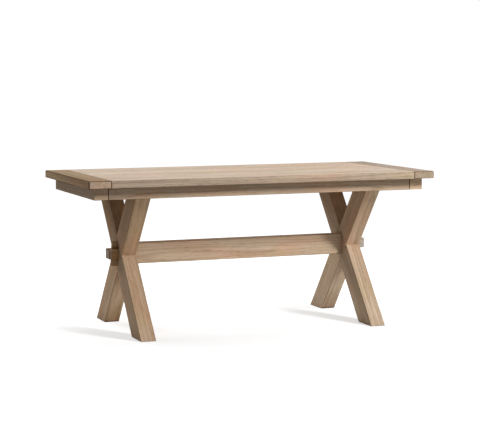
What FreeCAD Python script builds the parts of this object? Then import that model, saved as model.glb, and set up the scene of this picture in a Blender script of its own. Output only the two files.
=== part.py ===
"""Extending sawbuck dining table: a plank top with pull-out ends on two X trestles.

Millimetres, +Z up. The origin is on the floor, under the middle of the table.
X runs along the table, left is -X and the front is on the -Y side.
"""
import FreeCAD
import Part
import math
import os

# Overall size
table_height = 775.0
top_length = 1795.0
top_width = 835.0

# Top boards
top_thickness = 36.5
plank_count = 6
plank_joint_bevel = 1.0
end_board_width = 110.0
seam_gap = 0.8
seam_bevel = 2.0
rim_radius = 6.0
rim_lower_bevel = 2.0
corner_extra_radius = 2.0

# Aprons
apron_height = 58.5
apron_thickness = 22.0
apron_side_setback = 56.0
apron_end_setback = 41.0
apron_bevel = 1.5

# X trestles
trestle_inset = 293.5
leg_thickness = 76.0
leg_width = 118.5
crossing_height = 381.0
leg_top_clearance = 10.0
leg_edge_radius = 2.5
foot_bevel = 2.0
outer_half_share = 0.5
leg_tenon_width = 80.0
leg_tenon_thickness = 30.0
leg_tenon_height_share = 0.75

# Stretcher and its through tenons
stretcher_height = 103.0
stretcher_thickness = 64.0
stretcher_edge_radius = 2.5
tenon_height = 50.0
tenon_reach = 50.0
tenon_bevel = 3.0
tenon_clearance = 0.2

# Tusk keys
key_height = 120.0
key_thickness = 24.0
key_top_depth = 26.0
key_bottom_depth = 33.0
key_bevel = 2.0
key_draw = 4.0
key_clearance = 0.2

# Cross rails under the top: end rails, bearers on the trestles, mid rails
rail_height = 49.0
end_rail_thickness = 25.0
end_rail_inset = 5.0
mid_rail_thickness = 40.0

# Runners that carry the pull-out ends
pull_out = 457.0
runner_width = 40.0
runner_height = 28.0
runner_clearance = 0.3
runner_tail = 20.0
runner_rail_gap = 70.0
runner_block_gap = 6.0
lane_gap = 24.0

# Stop blocks let into the undersides of the runners
stop_length = 22.0
stop_width = 24.0
stop_drop = 14.0
stop_bite = 8.0
stop_bevel = 1.5
stop_clearance = 0.3

# Alignment pins between the end boards and the planks
pin_diameter = 10.0
pin_reach = 22.0
pin_bite = 25.0
pin_nose = 2.5
pin_clearance = 0.3

# Glue blocks along the aprons, and corner blocks of the same stock in the pull-out ends
block_size = 28.0
block_length = 80.0
block_bevel = 10.0
corner_block_height_share = 0.75

# Screws through the rails into the planks, and through the runners into the end boards
screw_sides = 8
screw_diameter = 4.5
screw_head_diameter = 9.0
screw_head_height = 3.0
screw_clearance = 0.15
recess_diameter = 11.0
rail_recess = 24.0
runner_recess = 9.0
inner_screw_shares = {"end_rail": 0.5, "bearer": 0.84, "mid_rail": 0.5}
plank_bite_share = 0.5
runner_bite_share = 0.8
runner_screw_shares = (0.3, 0.75)

# Shared by all cuts, and by the search for edges
overrun = 1.0
edge_tolerance = 0.001

# Heights that follow from the sizes above
under_top = table_height - top_thickness
apron_bottom = under_top - apron_height
rail_bottom = under_top - rail_height
runner_bottom = under_top - runner_height
notch_floor = runner_bottom - runner_clearance
pin_height = under_top + top_thickness / 2
plank_bite = plank_bite_share * top_thickness
runner_bite = runner_bite_share * (top_thickness - pin_diameter) / 2

# Places along the table, at its right-hand end
end_x = top_length / 2
seam_x = end_x - end_board_width
plank_end_x = seam_x - seam_gap
apron_outer_x = end_x - apron_end_setback
apron_inner_x = apron_outer_x - apron_thickness
trestle_x = end_x - trestle_inset
leg_inner_x = trestle_x - leg_thickness / 2
leg_outer_x = trestle_x + leg_thickness / 2
lap_x = leg_outer_x - outer_half_share * leg_thickness
tenon_end_x = leg_outer_x + tenon_reach
end_rail_x = plank_end_x - end_rail_inset - end_rail_thickness

# The runners of both ends pass each other, so each tail stops short of the far mid rail
mid_rail_x = (pull_out + stop_clearance + stop_length + runner_tail + runner_rail_gap) / 2
stop_x = mid_rail_x - pull_out - stop_clearance
runner_tail_x = stop_x - stop_length - runner_tail
rail_spans = {
    "end_rail": (end_rail_x, end_rail_x + end_rail_thickness),
    "bearer": (leg_inner_x, leg_outer_x),
    "mid_rail": (mid_rail_x, mid_rail_x + mid_rail_thickness),
}

# Places across the table
half_width = top_width / 2
plank_width = top_width / plank_count
pinned_planks = sorted({0, (plank_count - 1) // 2, plank_count // 2, plank_count - 1})
pin_places = [plank_width * (index + 0.5) - half_width for index in pinned_planks]
apron_outer_y = half_width - apron_side_setback
apron_inner_y = apron_outer_y - apron_thickness
outer_lane_y = apron_inner_y - block_size - runner_block_gap - runner_width / 2
inner_lane_y = outer_lane_y - runner_width - lane_gap
lane_y = {"left": outer_lane_y, "right": inner_lane_y}
outer_screw_y = (apron_inner_y + outer_lane_y + runner_width / 2) / 2
inner_screw_limit = inner_lane_y - runner_width / 2

# The legs lean so that their outer edge passes just inside the apron where they meet the bearer
leg_rise = rail_bottom - crossing_height
leg_spread = apron_inner_y - leg_top_clearance
leg_lean = math.acos(leg_width / 2 / math.hypot(leg_rise, leg_spread)) - math.atan2(leg_rise, leg_spread)
leg_cut_width = leg_width / math.cos(leg_lean)
leg_tenon_y = leg_spread - leg_cut_width / 2
leg_tenon_top = rail_bottom + leg_tenon_height_share * (notch_floor - rail_bottom)

up = FreeCAD.Vector(0, 0, 1)
along_x = FreeCAD.Vector(1, 0, 0)
along_y = FreeCAD.Vector(0, 1, 0)


def around(middle, size):
    """The low and high end of a size that is centred on a middle."""
    return middle - size / 2, middle + size / 2


def both_ways(values):
    """Each value with both signs."""
    return [sign * value for value in values for sign in (-1, 1)]


def box(x_range, y_range, z_range):
    """A box between three pairs of low and high limits."""
    low, high = (FreeCAD.Vector(*corner) for corner in zip(x_range, y_range, z_range))
    size = high - low
    return Part.makeBox(size.x, size.y, size.z, low)


def flat_face(points):
    """A flat face inside a closed outline."""
    corners = [FreeCAD.Vector(*point) for point in points]
    return Part.Face(Part.makePolygon(corners + corners[:1]))


def rod(diameter, length, start, axis):
    """A round rod from a start point along an axis."""
    return Part.makeCylinder(diameter / 2, length, FreeCAD.Vector(*start), axis)


def sided_rod(diameter, length, start, sides):
    """An upright rod with flat sides, for small fasteners."""
    x, y, z = start
    turns = [2 * math.pi * (corner + 0.5) / sides for corner in range(sides)]
    radius = diameter / 2
    outline = [(x + radius * math.cos(turn), y + radius * math.sin(turn), z) for turn in turns]
    return flat_face(outline).extrude(up * length)


def mirrored(shape, normal):
    """The same shape on the other side of the table's middle plane."""
    return shape.mirror(FreeCAD.Vector(), normal)


def on_side(shape, side):
    """A shape modelled at the right-hand end, placed at the named end."""
    return mirrored(shape, along_x) if side == "left" else shape


def lies_on(edge, x=None, y=None, z=None):
    """Whether an edge lies on all of the given planes."""
    planes = [(axis, place) for axis, place in enumerate((x, y, z)) if place is not None]
    points = [vertex.Point for vertex in edge.Vertexes]
    return all(abs(point[axis] - place) < edge_tolerance for point in points for axis, place in planes)


def edges_on(shape, **planes):
    """The edges of a shape that lie on all of the given planes."""
    return [edge for edge in shape.Edges if lies_on(edge, **planes)]


def edges_off(shape, **planes):
    """The other edges."""
    return [edge for edge in shape.Edges if not lies_on(edge, **planes)]


def seam_edges(board, seams, sides):
    """The upper and side edges of a board's seam faces."""
    upper = [edge for x in seams for edge in edges_on(board, x=x, z=table_height)]
    return upper + [edge for x in seams for y in sides for edge in edges_on(board, x=x, y=y)]


def drilled(shape, holes):
    """The shape less those holes that reach it."""
    near = [hole for hole in holes if shape.BoundBox.intersect(hole.BoundBox)]
    return shape.cut(near) if near else shape


def screw(seat, tip_height):
    """A wood screw that points up from the seat of its head."""
    x, y, seat_height = seat
    head_start = (x, y, seat_height - screw_head_height)
    head = sided_rod(screw_head_diameter, screw_head_height, head_start, screw_sides)
    return head.fuse(sided_rod(screw_diameter, tip_height - seat_height, seat, screw_sides))


def screw_hole(seat, tip_height, mouth_height):
    """A recess from its mouth up to the screw's seat, and a bore for the shank."""
    x, y, seat_height = seat
    start = mouth_height - overrun
    recess = sided_rod(recess_diameter, seat_height - start, (x, y, start), screw_sides)
    bore_diameter = screw_diameter + 2 * screw_clearance
    bore_length = tip_height + screw_clearance - seat_height
    return recess.fuse(sided_rod(bore_diameter, bore_length, seat, screw_sides))


def top_plank(index):
    """A plank of the top, bevelled at its seams and joints and rounded where it is the table's rim."""
    low = index * plank_width - half_width
    high = low + plank_width
    plank = box((-plank_end_x, plank_end_x), (low, high), (under_top, table_height))
    rim_sides = [y for y, at_rim in ((low, index == 0), (high, index == plank_count - 1)) if at_rim]
    joint_sides = [y for y in (low, high) if y not in rim_sides]
    plank = plank.makeChamfer(seam_bevel, seam_edges(plank, (-plank_end_x, plank_end_x), rim_sides))
    for y in rim_sides:
        plank = plank.makeFillet(rim_radius, edges_on(plank, y=y, z=table_height))
        plank = plank.makeChamfer(rim_lower_bevel, edges_on(plank, y=y, z=under_top))
    for y in joint_sides:
        plank = plank.makeChamfer(plank_joint_bevel, edges_on(plank, y=y, z=table_height))
    return drilled(plank, pin_sockets + rail_screw_holes)


def long_apron():
    """The fixed apron under the front of the top."""
    ends = (-plank_end_x, plank_end_x)
    apron = box(ends, (-apron_outer_y, -apron_inner_y), (apron_bottom, under_top))
    lower_edge = edges_on(apron, y=-apron_outer_y, z=apron_bottom)
    end_edges = [edge for x in ends for edge in edges_on(apron, x=x, y=-apron_outer_y)]
    return apron.makeChamfer(apron_bevel, lower_edge + end_edges)


def cross_rail(side, span):
    """A rail under the top, notched for the two runners of its end and mortised over the legs."""
    rail = box(span, (-apron_inner_y, apron_inner_y), (rail_bottom, under_top))
    notch_x = (span[0] - overrun, span[1] + overrun)
    notch_z = (notch_floor, under_top + overrun)
    notch_width = runner_width + 2 * runner_clearance
    notches = [box(notch_x, around(y, notch_width), notch_z) for y in both_ways([lane_y[side]])]
    mortises = [leg_tenon(sign, tenon_clearance) for sign in (-1, 1)]
    return drilled(on_side(drilled(rail.cut(notches), mortises), side), rail_screw_holes)


def leaning_beam(x_range, foot):
    """A square-edged leaning beam, cut level at the floor and under the bearer."""
    slope = math.tan(leg_lean) if foot == "front" else -math.tan(leg_lean)
    outline = []
    for height, sides in ((0, (-1, 1)), (rail_bottom, (1, -1))):
        middle = (height - crossing_height) * slope
        outline += [(x_range[0], middle + side * leg_cut_width / 2, height) for side in sides]
    return flat_face(outline).extrude(along_x * (x_range[1] - x_range[0]))


def leg_tenon(sign, clearance=0):
    """The stub tenon on a leg's top, or with a clearance its mortise in the bearer."""
    return box(
        around(trestle_x, leg_tenon_thickness + 2 * clearance),
        around(sign * leg_tenon_y, leg_tenon_width + 2 * clearance),
        (rail_bottom - clearance, leg_tenon_top + clearance),
    )


def leg(side, foot):
    """A leg of an X trestle: halved into its partner, mortised for the stretcher, tenoned into the bearer."""
    beam = leaning_beam((leg_inner_x, leg_outer_x), foot)
    beam = beam.makeChamfer(foot_bevel, edges_on(beam, z=0))
    long_edges = [edge for edge in beam.Edges if edge.BoundBox.ZLength > crossing_height]
    beam = beam.makeFillet(leg_edge_radius, long_edges)
    beam = beam.fuse(leg_tenon(1 if foot == "front" else -1))
    if foot == "front":
        halving = leaning_beam((leg_inner_x - overrun, lap_x), "back")
    else:
        halving = leaning_beam((lap_x, leg_outer_x + overrun), "front")
    mortise = box(
        (leg_inner_x - overrun, leg_outer_x + overrun),
        around(0, stretcher_thickness + 2 * tenon_clearance),
        around(crossing_height, tenon_height + 2 * tenon_clearance),
    )
    return on_side(beam.cut([halving, mortise]), side)


def key_outline(inner_x):
    """The tapered outline of a tusk key, from an inner face to its slanting outer face."""
    low, high = around(crossing_height, key_height)
    return [
        (inner_x, 0, low),
        (leg_outer_x + key_bottom_depth, 0, low),
        (leg_outer_x + key_top_depth, 0, high),
        (inner_x, 0, high),
    ]


def tusk_key(side):
    """The key that draws the stretcher tight, standing against the outside of a trestle."""
    blank = flat_face(key_outline(leg_outer_x)).extrude(along_y * key_thickness)
    blank = blank.translated(along_y * (-key_thickness / 2))
    return on_side(blank.makeChamfer(key_bevel, edges_off(blank, x=leg_outer_x)), side)


def key_mortise():
    """The slot in the right-hand tenon, which reaches behind the trestle's face so that the key can draw."""
    width = key_thickness + 2 * key_clearance
    slot = flat_face(key_outline(leg_outer_x - key_draw)).extrude(along_y * width)
    return slot.translated(along_y * (-width / 2))


def stretcher():
    """The rail between the trestles, with a shouldered through tenon at each end."""
    front = -stretcher_thickness / 2
    low, high = around(crossing_height, stretcher_height)
    tenon_low, tenon_high = around(crossing_height, tenon_height)
    right_end = [
        (leg_inner_x, low),
        (leg_inner_x, tenon_low),
        (tenon_end_x, tenon_low),
        (tenon_end_x, tenon_high),
        (leg_inner_x, tenon_high),
        (leg_inner_x, high),
    ]
    left_end = [(-x, z) for x, z in reversed(right_end)]
    blank = flat_face([(x, front, z) for x, z in right_end + left_end]).extrude(along_y * stretcher_thickness)
    long_edges = [edge for y in (front, -front) for z in (low, high) for edge in edges_on(blank, y=y, z=z)]
    blank = blank.makeFillet(stretcher_edge_radius, long_edges)
    tenon_edges = [edge for x in (-tenon_end_x, tenon_end_x) for edge in edges_on(blank, x=x)]
    blank = blank.makeChamfer(tenon_bevel, tenon_edges)
    slot = key_mortise()
    return blank.cut([slot, mirrored(slot, along_x)])


def glue_blocks():
    """Blocks in the angle between each long apron and the top, between the rails."""
    bay_middles = (mid_rail_x / 2, (mid_rail_x + mid_rail_thickness + leg_inner_x) / 2)
    inner_y = block_size - apron_inner_y
    blocks = []
    for x in both_ways(bay_middles):
        block = box(around(x, block_length), (-apron_inner_y, inner_y), (under_top - block_size, under_top))
        block = block.makeChamfer(block_bevel, edges_on(block, y=inner_y, z=under_top - block_size))
        blocks += [block, mirrored(block, along_y)]
    return Part.makeCompound(blocks)


def end_board(side):
    """The cross board of a pull-out end, with holes for its pins and runner screws."""
    board = box((seam_x, end_x), (-half_width, half_width), (under_top, table_height))
    corners = [edge for y in (-half_width, half_width) for edge in edges_on(board, x=end_x, y=y)]
    board = board.makeFillet(rim_radius + corner_extra_radius, corners)
    board = board.makeChamfer(seam_bevel, seam_edges(board, [seam_x], [-half_width, half_width]))
    upper_rim = [edge for edge in edges_on(board, z=table_height) if not lies_on(edge, x=seam_x + seam_bevel)]
    board = board.makeFillet(rim_radius, upper_rim)
    lower_rim = [edge for edge in edges_on(board, z=under_top) if not lies_on(edge, x=seam_x)]
    board = board.makeChamfer(rim_lower_bevel, lower_rim)
    pin_holes = [rod(pin_diameter, pin_bite, (seam_x, y, pin_height), along_x) for y in pin_places]
    screw_holes = [screw_hole(seat, under_top + runner_bite, runner_bottom) for seat in runner_seats(side)]
    return on_side(drilled(board, pin_holes + screw_holes), side)


def end_apron():
    """The cross apron of a pull-out end, mitred at both corners."""
    outline = [
        (apron_outer_x, -apron_outer_y, apron_bottom),
        (apron_outer_x, apron_outer_y, apron_bottom),
        (apron_inner_x, apron_inner_y, apron_bottom),
        (apron_inner_x, -apron_inner_y, apron_bottom),
    ]
    apron = flat_face(outline).extrude(up * apron_height)
    return apron.makeChamfer(apron_bevel, edges_on(apron, x=apron_outer_x, z=apron_bottom))


def apron_return():
    """The short front apron of a pull-out end, from the seam to the mitred corner."""
    outline = [
        (seam_x, -apron_outer_y, apron_bottom),
        (apron_outer_x, -apron_outer_y, apron_bottom),
        (apron_inner_x, -apron_inner_y, apron_bottom),
        (seam_x, -apron_inner_y, apron_bottom),
    ]
    apron = flat_face(outline).extrude(up * apron_height)
    lower_edge = edges_on(apron, y=-apron_outer_y, z=apron_bottom)
    return apron.makeChamfer(apron_bevel, lower_edge + edges_on(apron, x=seam_x, y=-apron_outer_y))


def corner_blocks():
    """Three-cornered blocks inside the mitres of a pull-out end."""
    outline = [
        (apron_inner_x, -apron_inner_y, under_top),
        (apron_inner_x, block_size - apron_inner_y, under_top),
        (apron_inner_x - block_size, -apron_inner_y, under_top),
    ]
    block = flat_face(outline).extrude(up * (-corner_block_height_share * apron_height))
    return Part.makeCompound([block, mirrored(block, along_y)])


def alignment_pins():
    """Pins with tapered noses that stand out of an end board's seam face."""
    length = pin_reach + pin_bite
    pins = []
    for y in pin_places:
        pin = rod(pin_diameter, length, (seam_x - pin_reach, y, pin_height), along_x)
        pins.append(pin.makeChamfer(pin_nose, edges_on(pin, x=seam_x - pin_reach)))
    return Part.makeCompound(pins)


def runner_seats(side):
    """Where the heads of an end's runner screws sit, two in each runner."""
    reach = apron_inner_x - seam_x
    places = [seam_x + share * reach for share in runner_screw_shares]
    return [(x, y, runner_bottom + runner_recess) for y in both_ways([lane_y[side]]) for x in places]


def runner(side):
    """The front runner of a pull-out end, full height under the end board and eased under the planks."""
    y_range = around(-lane_y[side], runner_width)
    bar = box((runner_tail_x, apron_inner_x), y_range, (runner_bottom, under_top - runner_clearance))
    head = box((seam_x, apron_inner_x), y_range, (runner_bottom, under_top))
    screw_holes = [screw_hole(seat, under_top + runner_bite, runner_bottom) for seat in runner_seats(side)]
    return drilled(bar.fuse(head).removeSplitter(), screw_holes + [stop_block(-lane_y[side])])


def stop_block(y):
    """A block under a runner that meets the mid rail when the end is fully out."""
    low = runner_bottom - stop_drop
    block = box((stop_x - stop_length, stop_x), around(y, stop_width), (low, runner_bottom + stop_bite))
    return block.makeChamfer(stop_bevel, edges_on(block, z=low))


def stop_blocks(side):
    """The stop blocks of both runners of an end."""
    return Part.makeCompound([stop_block(y) for y in both_ways([lane_y[side]])])


def runner_screws(side):
    """The screws of both runners of an end."""
    return Part.makeCompound([screw(seat, under_top + runner_bite) for seat in runner_seats(side)])


# Holes that several pieces share
rail_seats = [
    (x, y, rail_bottom + rail_recess)
    for rail_name, span in rail_spans.items()
    for x in both_ways([sum(span) / 2])
    for y in both_ways([outer_screw_y, inner_screw_shares[rail_name] * inner_screw_limit])
]
rail_screw_holes = [screw_hole(seat, under_top + plank_bite, rail_bottom) for seat in rail_seats]

socket_depth = pin_reach + pin_clearance
socket_diameter = pin_diameter + 2 * pin_clearance
right_sockets = [
    rod(socket_diameter, socket_depth, (seam_x - socket_depth, y, pin_height), along_x) for y in pin_places
]
pin_sockets = right_sockets + [mirrored(socket, along_x) for socket in right_sockets]

# The fixed table
parts = {f"top_plank_{index + 1}": top_plank(index) for index in range(plank_count)}
parts["apron_front"] = long_apron()
parts["apron_back"] = mirrored(long_apron(), along_y)
parts["stretcher"] = stretcher()
parts["glue_blocks"] = glue_blocks()
parts["top_screws"] = Part.makeCompound([screw(seat, under_top + plank_bite) for seat in rail_seats])

# What each end has: its rails and trestle, which stay, and the pieces that pull out
for side in ("left", "right"):
    for rail_name, span in rail_spans.items():
        parts[f"{side}_{rail_name}"] = cross_rail(side, span)
    for foot in ("front", "back"):
        parts[f"{side}_leg_{foot}"] = leg(side, foot)
    parts[f"{side}_tusk_key"] = tusk_key(side)
    parts[f"{side}_end_board"] = end_board(side)
    parts[f"{side}_end_apron"] = on_side(end_apron(), side)
    parts[f"{side}_corner_blocks"] = on_side(corner_blocks(), side)
    parts[f"{side}_alignment_pins"] = on_side(alignment_pins(), side)
    parts[f"{side}_stop_blocks"] = on_side(stop_blocks(side), side)
    parts[f"{side}_runner_screws"] = on_side(runner_screws(side), side)
    for place, piece in (("apron_return", apron_return()), ("runner", runner(side))):
        front_piece = on_side(piece, side)
        parts[f"{side}_{place}_front"] = front_piece
        parts[f"{side}_{place}_back"] = mirrored(front_piece, along_y)

os.makedirs("parts", exist_ok=True)
for name, shape in parts.items():
    shape.exportStep(f"parts/{name}.step")
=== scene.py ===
"""Dresses the extending sawbuck table: weathered wood, steel screws, studio light and the camera.

Metres, +Z up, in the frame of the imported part: X runs along the table and the front is on the -Y side.
"""
import bmesh
import bpy
import math
import random
from mathutils import Matrix, Vector


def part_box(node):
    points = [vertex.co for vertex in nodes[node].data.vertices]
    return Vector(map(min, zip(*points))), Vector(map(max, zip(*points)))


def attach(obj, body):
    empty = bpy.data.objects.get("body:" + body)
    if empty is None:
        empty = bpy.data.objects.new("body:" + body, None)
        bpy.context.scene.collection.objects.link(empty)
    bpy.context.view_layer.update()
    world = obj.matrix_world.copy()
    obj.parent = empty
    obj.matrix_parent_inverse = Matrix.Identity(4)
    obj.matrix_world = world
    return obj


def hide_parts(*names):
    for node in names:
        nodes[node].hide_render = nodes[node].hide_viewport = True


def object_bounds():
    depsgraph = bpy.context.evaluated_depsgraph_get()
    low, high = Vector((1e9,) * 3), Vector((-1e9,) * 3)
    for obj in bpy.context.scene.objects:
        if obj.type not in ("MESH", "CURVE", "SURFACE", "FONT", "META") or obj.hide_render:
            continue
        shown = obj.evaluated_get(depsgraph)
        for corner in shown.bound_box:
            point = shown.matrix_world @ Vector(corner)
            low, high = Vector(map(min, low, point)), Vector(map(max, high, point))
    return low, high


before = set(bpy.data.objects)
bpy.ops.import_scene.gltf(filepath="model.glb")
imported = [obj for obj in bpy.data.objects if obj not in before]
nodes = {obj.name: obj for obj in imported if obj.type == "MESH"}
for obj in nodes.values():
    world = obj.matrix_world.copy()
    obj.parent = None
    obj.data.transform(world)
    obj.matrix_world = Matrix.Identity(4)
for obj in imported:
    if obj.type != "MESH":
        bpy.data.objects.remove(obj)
cad_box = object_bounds()

along_x = Vector((1, 0, 0))
along_y = Vector((0, 1, 0))
up = Vector((0, 0, 1))

# Camera, fitted to the photograph, with its angles in radians
image_width_px = 480
focal_length_px = 1604.9
sensor_width_mm = 36.0
camera_place = Vector((-2.8758, -7.5955, 1.3386))
camera_yaw = 0.3631
camera_pitch = -0.0970
camera_roll = -0.0031

# Lamps: a soft key light from the front right, one overhead and one from the back left, with powers in watts
key_direction = Vector((0.52, -0.67, 0.53))
key_distance = 4.6
key_size = (0.9, 0.9)
key_power = 165.0
overhead_direction = Vector((0.0, 0.15, 1.0))
overhead_distance = 2.9
overhead_size = (3.0, 1.8)
overhead_power = 21.0
back_direction = Vector((-0.5, 0.75, 0.62))
back_distance = 3.6
back_size = (2.0, 1.4)
back_power = 49.0
light_colour = (1.0, 0.985, 0.96)

# Surroundings: dim light from all round, a white background, and a floor that glows less under the table
surround_colour = (0.98, 0.99, 1.0, 1.0)
surround_strength = 0.07
background_white = (1.0, 1.0, 1.0, 1.0)
background_strength = 1.0
floor_size = 60.0
floor_colour = (0.68, 0.70, 0.72, 1.0)
floor_shadow_middle = (0.0, -0.25, 0.0)
floor_shadow_reach = (1.6, 0.8, 1.0)
floor_shadow_fade_shares = (0.5, 1.2)
floor_shadow_glow = 0.545

# Wood colours: pale early wood and darker late wood of each family of boards
# The top's pale wood is partly painted sheen
top_light_and_sheen = (0.80, 0.665, 0.54, 1.0)
top_dark = (0.37, 0.27, 0.195, 1.0)
end_light = (0.58, 0.445, 0.30, 1.0)
end_dark = (0.27, 0.185, 0.11, 1.0)
frame_light = (0.58, 0.445, 0.325, 1.0)
frame_dark = (0.34, 0.235, 0.155, 1.0)
inner_light = (0.62, 0.48, 0.32, 1.0)
inner_dark = (0.42, 0.29, 0.17, 1.0)

# Painted light and shade on the upright sides of the top: darker on the planks, paler on the end boards
plain_tint = (1.0, 1.0, 1.0, 1.0)
side_painted_light_tints = {"top_plank": (0.81, 0.77, 0.72, 1.0), "end_board": (1.27, 1.21, 1.19, 1.0)}

# Colour of some boards beside the rest of their family, on their long faces and on their end grain
plain_tones = ((1.0, 1.0, 1.0), (0.9, 0.9, 0.9))
# Partly painted light and shade: some tones make a board paler or darker to match how brightly it is lit
board_tones = {
    "stretcher": ((1.3, 1.3, 1.3), (1.13, 1.24, 1.4)),
    "left_leg_front": ((1.2, 1.13, 1.05), (1.0, 1.0, 1.0)),
    "right_leg_front": ((1.17, 1.17, 1.17), (1.0, 1.0, 1.0)),
    "left_leg_back": ((1.4, 1.31, 1.2), (1.0, 1.0, 1.0)),
    "right_leg_back": ((1.5, 1.5, 1.5), (1.0, 1.0, 1.0)),
    "tusk_key": ((1.5, 1.35, 1.12), (1.3, 1.2, 1.0)),
    "left_apron_return": ((1.18, 1.15, 1.15), (1.0, 1.0, 1.0)),
    "right_apron_return": ((1.3, 1.24, 1.16), (1.0, 1.0, 1.0)),
    "apron": ((1.05, 1.05, 1.05), (0.97, 0.97, 0.97)),
    "left_end_board": ((0.75, 0.73, 0.68), (1.22, 1.27, 1.45)),
    "right_end_board": ((1.08, 1.17, 1.48), (0.88, 0.92, 1.0)),
}
tone_spread = 0.05

# Marks that belong to a place: dirt at the seams of the ends, painted shade and light on the legs, and both
# tenons
stain_fade = 0.0035
apron_seam_tint = (0.30, 0.24, 0.20, 1.0)
top_seam_tint = (0.72, 0.64, 0.57, 1.0)
# Painted shade: the legs are darker towards the top, under the table
leg_top_painted_shade_tint = (0.82, 0.78, 0.73, 1.0)
leg_top_painted_shade_heights = (0.30, 0.62)
# Painted light: the legs are paler towards the foot, as if lit from the floor
leg_foot_painted_light_tint = (1.11, 1.14, 1.17, 1.0)
leg_foot_painted_light_heights = (0.24, 0.02)
# Painted shade on the left tenon, out to its key; the right tenon is only greyer
left_tenon_painted_shade_tint = (0.93, 0.77, 0.55, 1.0)
right_tenon_tint = (0.78, 0.98, 1.2, 1.0)

# Darker edges, painted shade where other parts are near, and dirt and painted shade in the joints
edge_tint = (0.38, 0.32, 0.27, 1.0)
plank_edge_share = 0.22
frame_edge_share = 0.9
painted_shade_distance = 0.16
painted_shade_samples = 8
painted_shade_range = (0.85, 0.25)
painted_shade_tint = (0.53, 0.44, 0.34, 1.0)
painted_shade_share = 0.6
dirt_and_shade_distance = 0.02
dirt_and_shade_samples = 4
dirt_and_shade_range = (0.62, 0.25)
dirt_and_shade_tint = (0.32, 0.25, 0.20, 1.0)
dirt_and_shade_share = 0.75

# How squarely a face has to look along a direction, as a cosine, to count as facing it or as flat
side_lean = (0.6, 0.9)
flat_lean = (0.9, 0.995)

# Finish: the planks are sealed, and the rest is matt
top_gloss = 0.16
top_roughness = 0.6
matt_gloss = 0.06
matt_roughness = 0.72
streak_roughness = 0.14
grain_relief = 0.0004

# Each board's place in the wood: how far off its pith is, and the length of grain that boards lie on
pith_depths = (0.05, 0.12)
pith_shift = 0.05
grain_run = 30.0

# Rings: a pith that sways, rings that waver, years of unequal strength, and knots that push the rings aside
noise_middle = 0.5
sway_scale = (0.8, 2.5, 2.5)
ring_sway = 0.045
ring_spacing = 0.0062
ring_profile = ((0, 0), (0.5, 0.22), (0.84, 1), (0.94, 0.75), (1, 0))
faintest_year = 0.4
waver_scale = (2.0, 22.0, 22.0)
waver_in_rings = 0.9
knot_scale = (2.1, 5.0, 5.0)
knot_core_range = (0.05, 0.02)
knot_push_range = (0.2, 0.03)
knot_push_in_rings = 2.5
knot_colour = (0.14, 0.085, 0.05, 1.0)
knot_share = 0.5

# Marks along the grain, with the scale, detail and roughness of their noise
streak_noise = ((1.3, 42.0, 42.0), 4.0, 0.65)
streak_range = (0.3, 0.72)
fibre_noise = ((7.0, 420.0, 420.0), 2.0, 0.6)
pore_noise = ((38.0, 1100.0, 1100.0), 1.0, 0.5)
pore_range = (0.6, 0.72)
pore_tint = (0.55, 0.48, 0.42, 1.0)
pore_share = 0.45
fleck_noise = ((22.0, 170.0, 170.0), 2.0, 0.6)
fleck_range = (0.5, 0.76)

# How much rings and marks darken the wood, and how far they stand out of it or sink into it
ring_darkness = 0.5
streak_darkness = 0.42
fleck_darkness = 0.38
fibre_darkness = 0.5
fibre_height = 0.5
ring_depth = 0.35
pore_depth = 0.8

# Patches of colour: offset along the grain, scale and detail of the noise, its range, the share and the tint
rosy_patch = (0.0, ((3.2, 9.0, 9.0), 3.0), (0.45, 0.68), 0.5, (1.08, 0.87, 0.80, 1.0))
olive_patch = (8.3, ((4.0, 9.0, 9.0), 3.0), (0.5, 0.72), 0.5, (0.92, 0.93, 0.74, 1.0))
grey_patch = (3.7, ((0.9, 4.0, 4.0), 3.0), (0.42, 0.8), 0.4, (0.86, 0.90, 0.90, 1.0))

# Steel: zinc plating in lighter and darker patches, with fine scratches
zinc_dark = (0.50, 0.51, 0.53, 1.0)
zinc_light = (0.66, 0.66, 0.64, 1.0)
zinc_noise = ((260.0, 260.0, 260.0), 3.0)
zinc_roughness = 0.25
zinc_roughness_spread = 0.25
scratch_noise = ((900.0, 900.0, 120.0), 2.0)
scratch_relief = 0.0004

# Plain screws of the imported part: their sides, the spread of their corners, and what counts as on the axis
plain_screw_sides = 8
plain_screw_spread = 0.012
on_axis_share = 0.25

# Turned screws: a domed head with a cross recess, a thread near the tip, and a point
dome_height = 0.0012
dome_ring_shares = (0.72, 0.88, 1.0)
cross_reach = 0.0026
cross_half_width = 0.0006
cross_depth = 0.0016
cross_floor_share = 0.7
cross_angle_slack = 1e-6
thread_length = 0.018
thread_pitch = 0.002
thread_depth = 0.0006
thread_half_width = 0.0005
thread_steps = 12
thread_root_share = 0.9
point_length = 0.005
point_share = 0.1
sharp_angle = math.radians(40)

# How near to the floor a corner of a leg is part of its foot
foot_tolerance = 0.001


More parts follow.
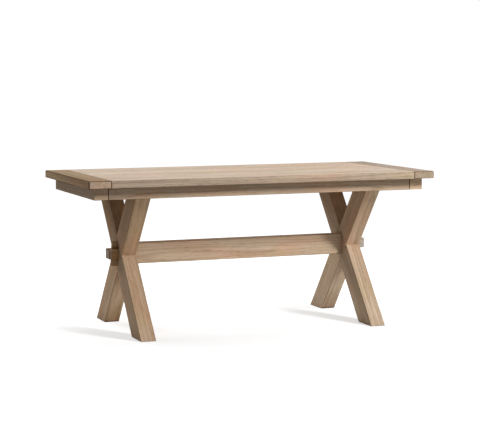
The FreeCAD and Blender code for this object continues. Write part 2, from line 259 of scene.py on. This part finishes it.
class Graph:
    """Adds nodes to a tree. Each input is a plain value, or an output socket to link from."""

    def __init__(self, tree):
        self.tree = tree

    def add(self, kind, inputs=(), **settings):
        """A new node with its settings and inputs."""
        node = self.tree.nodes.new(kind)
        for name, value in settings.items():
            setattr(node, name, value)
        for key, value in dict(inputs).items():
            if isinstance(value, bpy.types.NodeSocket):
                self.tree.links.new(value, node.inputs[key])
            else:
                node.inputs[key].default_value = value
        return node

    def math(self, operation, *values, clamp=False):
        """A sum, product or other function of numbers."""
        return self.add("ShaderNodeMath", enumerate(values), operation=operation, use_clamp=clamp).outputs[0]

    def vector(self, operation, *values, output="Vector"):
        """A function of vectors that gives a vector, or a number from the output Value."""
        return self.add("ShaderNodeVectorMath", enumerate(values), operation=operation).outputs[output]

    def noise(self, place, scale, detail=2.0, roughness=0.5, output="Fac"):
        """Noise with its own scale along each axis."""
        stretched = self.vector("MULTIPLY", place, scale)
        inputs = {"Vector": stretched, "Scale": 1.0, "Detail": detail, "Roughness": roughness}
        return self.add("ShaderNodeTexNoise", inputs).outputs[output]

    def step(self, value, low, high):
        """A smooth step from 0 at low to 1 at high. It falls where low is above high."""
        inputs = {"Value": value, "From Min": low, "From Max": high}
        return self.add("ShaderNodeMapRange", inputs, interpolation_type="SMOOTHSTEP").outputs["Result"]

    def mix(self, share, first, second, blend="MIX"):
        """A share of the second colour over the first."""
        node = self.add("ShaderNodeMix", {0: share, 6: first, 7: second}, data_type="RGBA", blend_type=blend)
        return node.outputs[2]

    def stain(self, colour, where, tint, share=1.0):
        """A colour that is multiplied by a share of a tint where the mask is 1."""
        return self.mix(self.math("MULTIPLY", where, share), colour, tint, "MULTIPLY")

    def curve(self, value, stops):
        """A number read from a curve through (place, height) stops."""
        node = self.add("ShaderNodeValToRGB", {"Fac": value})
        ramp = node.color_ramp
        while len(ramp.elements) < len(stops):
            ramp.elements.new(1.0)
        for element, (place, height) in zip(ramp.elements, stops):
            element.position = place
            element.color = (height, height, height, 1.0)
        return node.outputs["Color"]


def growth_rings(g, place):
    """Places bent with the pith, the late wood of the rings round it, and the cores of the knots."""
    sway = g.vector("SUBTRACT", g.noise(place, sway_scale, output="Color"), (noise_middle,) * 3)
    bent = g.vector("ADD", place, g.vector("MULTIPLY", sway, (0, ring_sway, ring_sway)))
    radius = g.vector("LENGTH", g.vector("MULTIPLY", bent, (0, 1, 1)), output="Value")
    knot_place = g.vector("MULTIPLY", bent, knot_scale)
    knot_distance = g.add("ShaderNodeTexVoronoi", {"Vector": knot_place, "Scale": 1.0}).outputs["Distance"]
    push = g.math("MULTIPLY", g.step(knot_distance, *knot_push_range), knot_push_in_rings)
    waver = g.math("MULTIPLY", g.noise(bent, waver_scale), waver_in_rings)
    phase = g.math("ADD", g.math("DIVIDE", radius, ring_spacing), g.math("ADD", push, waver))
    year = g.math("FLOOR", phase)
    chance = g.add("ShaderNodeTexWhiteNoise", {"W": year}, noise_dimensions="1D").outputs["Value"]
    strength = g.math("MULTIPLY_ADD", chance, 1 - faintest_year, faintest_year)
    rings = g.math("MULTIPLY", g.curve(g.math("FRACT", phase), ring_profile), strength)
    return bent, rings, g.step(knot_distance, *knot_core_range)


def patchy(g, place, colour):
    """A colour with rosy, olive and grey patches."""
    for offset, noise, noise_range, share, tint in (rosy_patch, olive_patch, grey_patch):
        spot = g.vector("ADD", place, (offset, 0, 0))
        colour = g.stain(colour, g.step(g.noise(spot, *noise), *noise_range), tint, share)
    return colour


def new_group(name, inputs, outputs):
    """A node group with its sockets, as a graph, and the sockets that give its inputs."""
    tree = bpy.data.node_groups.new(name, "ShaderNodeTree")
    for socket, kind in inputs.items():
        tree.interface.new_socket(socket, in_out="INPUT", socket_type=f"NodeSocket{kind}")
    for socket, kind in outputs.items():
        tree.interface.new_socket(socket, in_out="OUTPUT", socket_type=f"NodeSocket{kind}")
    graph = Graph(tree)
    return graph, graph.add("NodeGroupInput").outputs


def wood_group():
    """Solid wood in board coordinates: X runs along the grain, and the pith is the X axis."""
    inputs = {"Place": "Vector", "Light": "Color", "Dark": "Color", "Tint": "Color", "Base": "Float"}
    outputs = {"Colour": "Color", "Roughness": "Float", "Height": "Float"}
    g, given = new_group("solid_wood", inputs, outputs)
    place = given["Place"]
    bent, rings, knot = growth_rings(g, place)
    streak = g.step(g.noise(bent, *streak_noise), *streak_range)
    fibre = g.noise(bent, *fibre_noise)
    pore = g.step(g.noise(bent, *pore_noise), *pore_range)
    fleck = g.step(g.noise(bent, *fleck_noise), *fleck_range)

    # Colour: from light to dark, with patches, pores and knots, and the tint of the face
    darkness = g.math("MULTIPLY", rings, ring_darkness)
    darkness = g.math("ADD", darkness, g.math("MULTIPLY", streak, streak_darkness))
    darkness = g.math("ADD", darkness, g.math("MULTIPLY", fleck, fleck_darkness))
    uneven = g.math("SUBTRACT", fibre, noise_middle)
    darkness = g.math("ADD", darkness, g.math("MULTIPLY", uneven, fibre_darkness), clamp=True)
    colour = patchy(g, place, g.mix(darkness, given["Light"], given["Dark"]))
    colour = g.stain(colour, pore, pore_tint, pore_share)
    colour = g.mix(g.math("MULTIPLY", knot, knot_share), colour, knot_colour)
    colour = g.mix(1.0, colour, given["Tint"], "MULTIPLY")

    # Relief: fibres stand out, and rings and pores sink in
    height = g.math("MULTIPLY", fibre, fibre_height)
    height = g.math("SUBTRACT", height, g.math("MULTIPLY", rings, ring_depth))
    height = g.math("SUBTRACT", height, g.math("MULTIPLY", pore, pore_depth))
    roughness = g.math("ADD", given["Base"], g.math("MULTIPLY", streak, streak_roughness))
    g.add("NodeGroupOutput", {"Colour": colour, "Roughness": roughness, "Height": height})
    return g.tree


def faces_along(g, direction, lean_range=side_lean):
    """1 on the faces that look along a direction or against it, and 0 on the others."""
    normal = g.add("ShaderNodeNewGeometry").outputs["Normal"]
    lean = g.vector("DOT_PRODUCT", normal, direction, output="Value")
    return g.step(g.math("ABSOLUTE", lean), *lean_range)


def edges_dirt_and_painted_shade(g, colour, grain, face, edge_share):
    """Darker edges, painted shade where other parts are near, and dirt and painted shade in the joints."""
    flat = faces_along(g, grain, flat_lean)
    for direction in (face, face.cross(grain)):
        flat = g.math("MAXIMUM", flat, faces_along(g, direction, flat_lean))
    colour = g.stain(colour, g.math("SUBTRACT", 1.0, flat), edge_tint, edge_share)
    # Painted shade: darker wherever other parts are near
    near = g.add("ShaderNodeAmbientOcclusion", {"Distance": painted_shade_distance}, samples=painted_shade_samples)
    colour = g.stain(colour, g.step(near.outputs["AO"], *painted_shade_range), painted_shade_tint, painted_shade_share)
    # Dirt and painted shade: darker in the joints and creases
    close = g.add("ShaderNodeAmbientOcclusion", {"Distance": dirt_and_shade_distance}, samples=dirt_and_shade_samples)
    return g.stain(colour, g.step(close.outputs["AO"], *dirt_and_shade_range), dirt_and_shade_tint, dirt_and_shade_share)


def leg_painted_shade_and_light(g, spot, colour):
    """A leg with painted shade towards the top, under the table, and painted light from the floor towards
    the foot.
    """
    colour = g.stain(colour, g.step(spot["Z"], *leg_top_painted_shade_heights), leg_top_painted_shade_tint)
    return g.stain(colour, g.step(spot["Z"], *leg_foot_painted_light_heights), leg_foot_painted_light_tint)


def tenon_painted_shade_and_tint(g, spot, colour):
    """A left tenon with painted shade as far out as its key, and a right tenon that is greyer."""
    left_leg_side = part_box("left_leg_front")[0].x
    left_key_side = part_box("left_tusk_key")[0].x
    right_leg_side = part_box("right_leg_front")[1].x
    past_left_leg = g.step(spot["X"], left_leg_side + stain_fade, left_leg_side)
    within_key = g.step(spot["X"], left_key_side - stain_fade, left_key_side)
    past_right_leg = g.step(spot["X"], right_leg_side - stain_fade, right_leg_side)
    colour = g.stain(colour, g.math("MULTIPLY", past_left_leg, within_key), left_tenon_painted_shade_tint)
    return g.stain(colour, past_right_leg, right_tenon_tint)


def seam_stain(g, spot, colour, tint):
    """Dirt along the seam of each end."""
    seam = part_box("right_end_board")[0].x
    from_seam = g.math("ABSOLUTE", g.math("SUBTRACT", g.math("ABSOLUTE", spot["X"]), seam))
    return g.stain(colour, g.step(from_seam, stain_fade, 0.0), tint)


def local_stains_and_painted_light(g, name, colour):
    """The stains, painted shade and painted light that a node has because of its place on the table."""
    spot = g.add("ShaderNodeSeparateXYZ", {0: g.add("ShaderNodeTexCoord").outputs["Object"]}).outputs
    if "_leg_" in name:
        return leg_painted_shade_and_light(g, spot, colour)
    if name == "stretcher":
        return tenon_painted_shade_and_tint(g, spot, colour)
    if "apron" in name:
        return seam_stain(g, spot, colour, apron_seam_tint)
    if "top_plank" in name or "end_board" in name:
        return seam_stain(g, spot, colour, top_seam_tint)
    return colour


def new_material(name):
    """An empty material with an output, as a graph and its surface socket."""
    material = bpy.data.materials.new(name)
    material.use_nodes = True
    material.node_tree.nodes.clear()
    graph = Graph(material.node_tree)
    return material, graph, graph.add("ShaderNodeOutputMaterial").inputs["Surface"]


def board_mapping(g, name, grain, face):
    """Board coordinates of a node, along its grain, across it and through its face, from its own pith."""
    chance = random.Random(name)
    turn = Matrix((grain, face.cross(grain), face))
    low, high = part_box(name)
    depth = chance.uniform(*pith_depths) * chance.choice((-1, 1))
    pith = Vector((chance.uniform(0, grain_run), chance.uniform(-pith_shift, pith_shift), depth))
    place = g.add("ShaderNodeTexCoord").outputs["Object"]
    shift = pith - turn @ ((low + high) / 2)
    inputs = {"Vector": place, "Location": shift, "Rotation": turn.to_euler()}
    return g.add("ShaderNodeMapping", inputs).outputs["Vector"]


def face_tint(g, name, grain, face, long_tone, end_tone):
    """The tint of a board's broad faces, the painted light and shade of its sides, and the tint of its end
    grain.
    """
    side_painted_tint = next((tint for word, tint in side_painted_light_tints.items() if word in name), plain_tint)
    end_tint = (*(on_end / on_long for on_end, on_long in zip(end_tone, long_tone)), 1)
    long_tint = g.mix(faces_along(g, face), side_painted_tint, plain_tint)
    return g.mix(faces_along(g, grain), long_tint, end_tint)


def toned(colour, tone, share):
    """A colour times a tone and a share."""
    return (*(channel * part * share for channel, part in zip(colour, tone)), 1)


def wood_material(name, grain, face, light, dark):
    """The wood of one node, with grain along its length and rings on its ends."""
    long_tone, end_tone = next((tones for word, tones in board_tones.items() if word in name), plain_tones)
    own_share = random.Random(name + " tone").uniform(1 - tone_spread, 1 + tone_spread)
    sealed = "top_plank" in name
    material, g, surface = new_material(f"wood_{name}")
    inputs = {
        "Place": board_mapping(g, name, grain, face),
        "Light": toned(light, long_tone, own_share),
        "Dark": toned(dark, long_tone, own_share),
        "Tint": face_tint(g, name, grain, face, long_tone, end_tone),
        "Base": top_roughness if sealed else matt_roughness,
    }
    wood = g.add("ShaderNodeGroup", inputs, node_tree=solid_wood).outputs
    edge_share = plank_edge_share if sealed else frame_edge_share
    relief = g.add("ShaderNodeBump", {"Height": wood["Height"], "Distance": grain_relief})
    shader = {
        "Base Color": local_stains_and_painted_light(g, name, edges_dirt_and_painted_shade(g, wood["Colour"], grain, face, edge_share)),
        "Roughness": wood["Roughness"],
        "Normal": relief.outputs["Normal"],
        "Specular IOR Level": top_gloss if sealed else matt_gloss,
    }
    g.tree.links.new(g.add("ShaderNodeBsdfPrincipled", shader).outputs["BSDF"], surface)
    return material


def steel_material():
    """Zinc-plated steel with a patchy, slightly dull plating."""
    material, g, surface = new_material("zinc_steel")
    place = g.add("ShaderNodeTexCoord").outputs["Object"]
    patch = g.noise(place, *zinc_noise)
    relief = g.add("ShaderNodeBump", {"Height": g.noise(place, *scratch_noise), "Distance": scratch_relief})
    shader = {
        "Base Color": g.mix(patch, zinc_dark, zinc_light),
        "Roughness": g.math("MULTIPLY_ADD", patch, zinc_roughness_spread, zinc_roughness),
        "Normal": relief.outputs["Normal"],
        "Metallic": 1.0,
    }
    g.tree.links.new(g.add("ShaderNodeBsdfPrincipled", shader).outputs["BSDF"], surface)
    return material


def leg_grain(name):
    """The direction of a leg, from the middle of its foot to the middle of the stretcher."""
    foot = [vertex.co.y for vertex in nodes[name].data.vertices if vertex.co.z < foot_tolerance]
    crossing = sum(corner.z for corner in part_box("stretcher")) / 2
    return Vector((0, -(min(foot) + max(foot)) / 2, crossing)).normalized()


def dress_wood():
    """Gives each wooden node its own board of its family's wood, and the plain screws their steel."""
    lengthwise = (along_x, up)
    crosswise = (along_y, up)
    families = (
        ("top_plank", lengthwise, top_light_and_sheen, top_dark),
        ("end_board", crosswise, end_light, end_dark),
        ("end_apron", (along_y, along_x), frame_light, frame_dark),
        ("apron", (along_x, -along_y), frame_light, frame_dark),
        ("stretcher", (along_x, -along_y), frame_light, frame_dark),
        ("tusk_key", (up, along_x), frame_light, frame_dark),
        ("rail", crosswise, inner_light, inner_dark),
        ("bearer", crosswise, inner_light, inner_dark),
        ("corner_blocks", (up, along_x), inner_light, inner_dark),
        ("", lengthwise, inner_light, inner_dark),
    )
    for name, node in nodes.items():
        if "screws" in name:
            material = zinc_steel
        elif "_leg_" in name:
            grain = leg_grain(name)
            material = wood_material(name, grain, grain.cross(along_x), frame_light, frame_dark)
        else:
            _, (grain, face), light, dark = next(family for family in families if family[0] in name)
            material = wood_material(name, grain, face, light, dark)
        node.data.materials.clear()
        node.data.materials.append(material)


class Screw:
    """A turned screw in the place of a plain one, with its head below and its tip above."""

    def __init__(self, corners):
        low = Vector(min(corner[i] for corner in corners) for i in range(3))
        high = Vector(max(corner[i] for corner in corners) for i in range(3))
        self.axis = (low + high).xy / 2
        self.bottom = low.z
        self.tip = high.z
        widths = [(corner.xy - self.axis).length for corner in corners]
        flat_share = math.cos(math.pi / plain_screw_sides)
        self.head_radius = max(widths) * flat_share
        on_axis = self.head_radius * on_axis_share
        self.shank_radius = min(width for width in widths if width > on_axis) * flat_share
        between = (self.head_radius + self.shank_radius) / 2
        self.seat = max(corner.z for corner, width in zip(corners, widths) if width > between)
        self.core_radius = self.shank_radius - thread_depth
        self.neck = self.tip - thread_length

    def corner(self, body, angle, radius, z):
        """A new corner of a mesh, round the axis."""
        x = self.axis.x + radius * math.cos(angle)
        y = self.axis.y + radius * math.sin(angle)
        return body.verts.new((x, y, z))

    def dome(self, radius):
        """The height of the domed head at a radius."""
        return self.bottom + dome_height * (radius / self.head_radius) ** 2

    def profile(self):
        """The radius and height of each ring of corners, from the dome to the tip."""
        dome_radii = [share * self.head_radius for share in dome_ring_shares]
        return [
            *((radius, self.dome(radius)) for radius in dome_radii),
            (self.head_radius, self.seat),
            (self.shank_radius, self.seat),
            (self.shank_radius, self.neck - thread_pitch),
            (self.core_radius, self.neck),
            (self.core_radius, self.tip - point_length),
            (self.core_radius * point_share, self.tip),
        ]


def plain_screws(name):
    """The plain screws of a node, which stand upright and well apart."""
    groups = []
    for vertex in nodes[name].data.vertices:
        near = [group for group in groups if (group[0] - vertex.co).xy.length < plain_screw_spread]
        if near:
            near[0].append(vertex.co)
        else:
            groups.append([vertex.co])
    return [Screw(corners) for corners in groups]


def cross_angles():
    """The angles of the corners round a screw, with one at each corner of the cross recess."""
    arm = math.atan(cross_half_width / cross_reach)
    between = (math.pi / 4 - arm) / 2
    quarter = (0, arm, arm + between, math.pi / 4, math.pi / 4 + between, math.pi / 2 - arm)
    return [turn * math.pi / 2 + step for turn in range(4) for step in quarter]


def cross_rim(angle):
    """How far the rim of the cross recess is from the middle of the head, at an angle."""
    folded = abs((angle + math.pi / 4) % (math.pi / 2) - math.pi / 4)
    if math.tan(folded) < cross_half_width / cross_reach + cross_angle_slack:
        return cross_reach / math.cos(folded)
    return cross_half_width / math.sin(folded)


def add_shank(body, screw):
    """Adds the head with its recess, the shank, the core of the thread and the point to a mesh."""
    angles = cross_angles()
    rims = [(angle, cross_rim(angle)) for angle in angles]
    floor = screw.bottom + cross_depth
    rings = [
        [screw.corner(body, angle, rim * cross_floor_share, floor) for angle, rim in rims],
        [screw.corner(body, angle, rim, screw.dome(rim)) for angle, rim in rims],
    ]
    rings += [[screw.corner(body, angle, radius, z) for angle in angles] for radius, z in screw.profile()]
    body.faces.new(rings[0])
    body.faces.new(reversed(rings[-1]))
    for inner, outer in zip(rings, rings[1:]):
        for i in range(len(angles)):
            body.faces.new((inner[i - 1], inner[i], outer[i], outer[i - 1]))


def add_thread(body, screw):
    """Adds the thread to a mesh, a ridge that winds up the core and fades at the point."""
    count = int((thread_length - thread_half_width * 2) / thread_pitch * thread_steps)
    sections = []
    for i in range(count + 1):
        angle = 2 * math.pi * i / thread_steps
        z = screw.neck + thread_half_width + i * thread_pitch / thread_steps
        taper = min(1.0, (screw.tip - z) / point_length)
        root = screw.core_radius * taper * thread_root_share
        crest = root + thread_depth * taper
        outline = ((root, z - thread_half_width), (crest, z), (root, z + thread_half_width))
        sections.append([screw.corner(body, angle, radius, height) for radius, height in outline])
    for first, second in zip(sections, sections[1:]):
        for i in range(len(first)):
            body.faces.new((first[i - 1], second[i - 1], second[i], first[i]))
    body.faces.new(sections[0])
    body.faces.new(reversed(sections[-1]))


def make_screws(name, rides_on):
    """Round screws with cross-recess heads, in place of the plain screws of a node."""
    body = bmesh.new()
    for screw in plain_screws(name):
        add_shank(body, screw)
        add_thread(body, screw)
    bmesh.ops.recalc_face_normals(body, faces=body.faces)
    mesh = bpy.data.meshes.new(f"turned_{name}")
    body.to_mesh(mesh)
    body.free()
    mesh.shade_smooth()
    mesh.set_sharp_from_angle(angle=sharp_angle)
    mesh.materials.append(zinc_steel)
    screws = bpy.data.objects.new(f"turned_{name}", mesh)
    bpy.context.scene.collection.objects.link(screws)
    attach(screws, rides_on)
    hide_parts(name)


def seen_rays(g):
    """1 for the rays that show the background to the camera, direct, mirrored or through glass."""
    path = g.add("ShaderNodeLightPath").outputs
    direct_or_mirrored = g.math("MAXIMUM", path["Is Camera Ray"], path["Is Glossy Ray"])
    return g.math("MAXIMUM", direct_or_mirrored, path["Is Transmission Ray"])


def floor_material():
    """Plain white. It glows less under the table, so that the shadow of the feet stays in sight."""
    material, g, surface = new_material("white_floor")
    diffuse = g.add("ShaderNodeBsdfDiffuse", {"Color": floor_colour}).outputs["BSDF"]
    place = g.add("ShaderNodeTexCoord").outputs["Object"]
    apart = g.vector("DIVIDE", g.vector("SUBTRACT", place, floor_shadow_middle), floor_shadow_reach)
    away = g.step(g.vector("LENGTH", apart, output="Value"), *floor_shadow_fade_shares)
    strength = g.math("MULTIPLY_ADD", away, 1 - floor_shadow_glow, floor_shadow_glow)
    shown = {"Color": background_white, "Strength": g.math("MULTIPLY", strength, seen_rays(g))}
    glow = g.add("ShaderNodeEmission", shown).outputs["Emission"]
    g.tree.links.new(g.add("ShaderNodeAddShader", {0: diffuse, 1: glow}).outputs["Shader"], surface)
    return material


def make_floor():
    """A wide, level floor."""
    half = floor_size / 2
    mesh = bpy.data.meshes.new("floor")
    corners = [(-half, -half, 0), (half, -half, 0), (half, half, 0), (-half, half, 0)]
    mesh.from_pydata(corners, [], [(0, 1, 2, 3)])
    mesh.materials.append(floor_material())
    floor = bpy.data.objects.new("floor", mesh)
    bpy.context.scene.collection.objects.link(floor)


def make_surroundings():
    """Dim light from all round, before a white background."""
    world = bpy.data.worlds.new("studio")
    world.use_nodes = True
    world.node_tree.nodes.clear()
    g = Graph(world.node_tree)
    light = g.add("ShaderNodeBackground", {"Color": surround_colour, "Strength": surround_strength})
    white = g.add("ShaderNodeBackground", {"Color": background_white, "Strength": background_strength})
    inputs = {0: seen_rays(g), 1: light.outputs[0], 2: white.outputs[0]}
    shown = g.add("ShaderNodeMixShader", inputs).outputs["Shader"]
    g.add("ShaderNodeOutputWorld", {"Surface": shown})
    bpy.context.scene.world = world


def make_light(name, direction, distance, size, power):
    """A soft rectangular light, aimed at the middle of the table."""
    light = bpy.data.lights.new(name, "AREA")
    light.shape = "RECTANGLE"
    light.size, light.size_y = size
    light.energy = power
    light.color = light_colour
    lamp = bpy.data.objects.new(name, light)
    low, high = cad_box
    toward = direction.normalized()
    lamp.location = (low + high) / 2 + toward * distance
    lamp.rotation_euler = (-toward).to_track_quat("-Z", "Y").to_euler()
    bpy.context.scene.collection.objects.link(lamp)


def make_camera():
    """The camera at the photograph's place and angle."""
    level = math.cos(camera_pitch)
    ahead = Vector((math.sin(camera_yaw) * level, math.cos(camera_yaw) * level, math.sin(camera_pitch)))
    right = Vector((math.cos(camera_yaw), -math.sin(camera_yaw), 0))
    turn = Matrix((right, right.cross(ahead), -ahead)).transposed() @ Matrix.Rotation(camera_roll, 3, "Z")
    lens = bpy.data.cameras.new("camera")
    lens.sensor_width = sensor_width_mm
    lens.lens = sensor_width_mm * focal_length_px / image_width_px
    camera = bpy.data.objects.new("camera", lens)
    camera.matrix_world = Matrix.LocRotScale(camera_place, turn, None)
    bpy.context.scene.collection.objects.link(camera)
    bpy.context.scene.camera = camera


solid_wood = wood_group()
zinc_steel = steel_material()
dress_wood()
make_screws("top_screws", "table")
make_screws("left_runner_screws", "left_end")
make_screws("right_runner_screws", "right_end")
make_floor()
make_surroundings()
make_light("key_light", key_direction, key_distance, key_size, key_power)
make_light("overhead_light", overhead_direction, overhead_distance, overhead_size, overhead_power)
make_light("back_light", back_direction, back_distance, back_size, back_power)
make_camera()
bpy.context.scene.view_settings.view_transform = "Standard"
